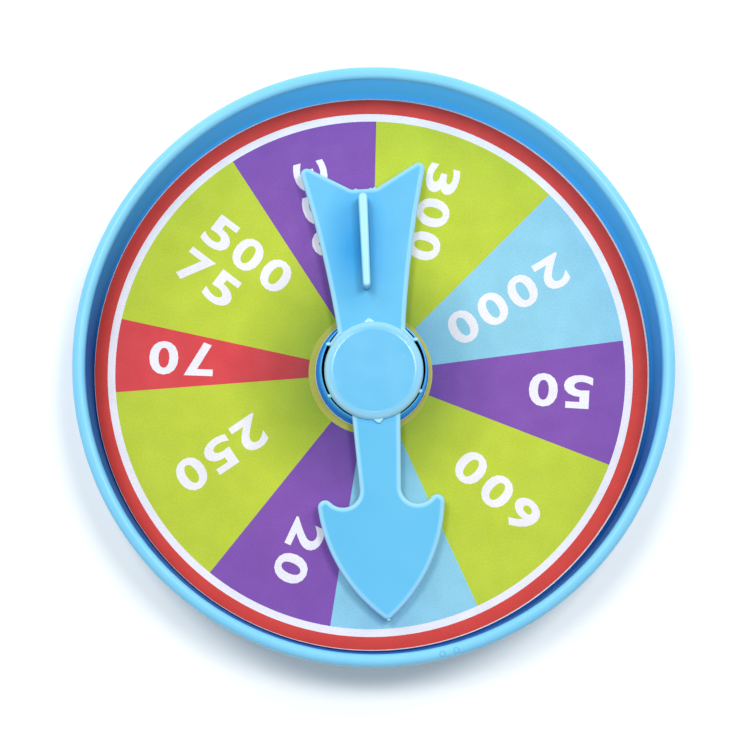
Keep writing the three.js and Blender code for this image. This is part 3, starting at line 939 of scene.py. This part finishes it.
def paint(node, material):
    """Gives a CAD node that stays shown its finished material."""
    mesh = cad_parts[node].data
    mesh.materials.clear()
    mesh.materials.append(material)


# ---------------------------------------------------------------- floor, light and camera


def make_floor():
    n = Nodes("floor_white", 0.8, 0.1)
    tone = n.mix(n.noise(60), (0.93, 0.935, 0.94, 1), (0.95, 0.952, 0.955, 1))
    n.shader.inputs["Emission Color"].default_value = (1, 1, 1, 1)
    n.shader.inputs["Emission Strength"].default_value = 0.08
    material = n.finish(tone, n.bump(n.noise(2), 0.01, 0.2))
    mesh = bpy.data.meshes.new("floor")
    side = 6.0
    corners = [(-side, -side, 0), (side, -side, 0), (side, side, 0), (-side, side, 0)]
    mesh.from_pydata(corners, [], [(0, 1, 2, 3)])
    mesh.materials.append(material)
    floor = bpy.data.objects.new("floor", mesh)
    bpy.context.scene.collection.objects.link(floor)


def make_light(name, spot, size, power):
    """A square soft box aimed at the dial."""
    data = bpy.data.lights.new(name, "AREA")
    data.shape = "SQUARE"
    data.size = size
    data.energy = power
    light = bpy.data.objects.new(name, data)
    light.location = spot
    light.rotation_euler = (-Vector(spot)).to_track_quat("-Z", "Y").to_euler()
    bpy.context.scene.collection.objects.link(light)


def make_world():
    world = bpy.data.worlds.new("studio")
    world.use_nodes = True
    background = world.node_tree.nodes["Background"]
    background.inputs["Color"].default_value = (0.97, 0.985, 1.0, 1)
    background.inputs["Strength"].default_value = 0.16
    bpy.context.scene.world = world


def make_camera():
    """The photograph's view: from straight above, leaned a little towards the dial's lower left."""
    away = Vector(
        (
            math.sin(CAMERA_TILT) * math.sin(CAMERA_BEARING),
            math.sin(CAMERA_TILT) * math.cos(CAMERA_BEARING),
            math.cos(CAMERA_TILT),
        )
    )
    up = (Vector((0, 1, 0)) - away * away.y).normalized()
    right = up.cross(away)
    spot = (CAMERA_AIM + away * CAMERA_DISTANCE) * MM
    data = bpy.data.cameras.new("camera")
    data.lens = CAMERA_LENS
    camera = bpy.data.objects.new("camera", data)
    camera.matrix_world = Matrix.Translation(spot) @ Matrix((right, up, away)).transposed().to_4x4()
    bpy.context.scene.collection.objects.link(camera)
    bpy.context.scene.camera = camera


BLUE = tray_plastic()
ARROW_BLUE = arrow_plastic("arrow_plastic", 0.12)
CAP_BLUE = arrow_plastic("cap_plastic", 0.32)
INKS = {
    "green": printed("ink_green", "c1d43d"),
    "sky": printed("ink_sky", "92d2e8"),
    "purple": printed("ink_purple", "8454b0"),
    "red": printed("ink_red", "dc474d"),
    "yellow": printed("ink_yellow", "efdf5f"),
    "white": printed("ink_white", "f4f3f9"),
    "border": printed("ink_border", "dc4841"),
}
BOARD = board("greyboard")

make_tray(BLUE)
make_card(INKS, BOARD)
make_numerals(INKS["white"])
make_pointer(ARROW_BLUE)
make_cap(CAP_BLUE)
make_pads(foam("foam"))

NYLON = nylon("nylon")
STEEL = plated_steel("zinc_plate")
paint("card_tape", paper_tape("tape"))
paint("thrust_washer", NYLON)
paint("pivot_bush", NYLON)
paint("screw_washer", STEEL)
paint("pivot_screw", STEEL)

make_floor()
make_world()
make_light("key_right", (0.28, 0.24, 1.15), 0.28, 5.7)
make_light("key_left", (-0.26, 0.26, 1.15), 0.28, 4.9)
make_light("front", (0.0, -0.24, 1.2), 0.2, 1.0)
make_light("side_right", (0.6, 0.38, 0.7), 0.4, 1.3)
make_light("side_left", (-0.46, 0.55, 0.7), 0.4, 1.3)
make_light("side_low", (-0.68, -0.3, 0.4), 0.3, 0.5)
make_light("bounce", (-0.1, -0.8, 0.5), 0.9, 0.25)
make_light("rim_right", (0.55, 0.68, 0.03), 0.3, 2.6)
make_light("rim_left", (-0.5, 0.72, 0.03), 0.3, 2.2)
make_camera()
bpy.context.scene.view_settings.view_transform = "Standard"
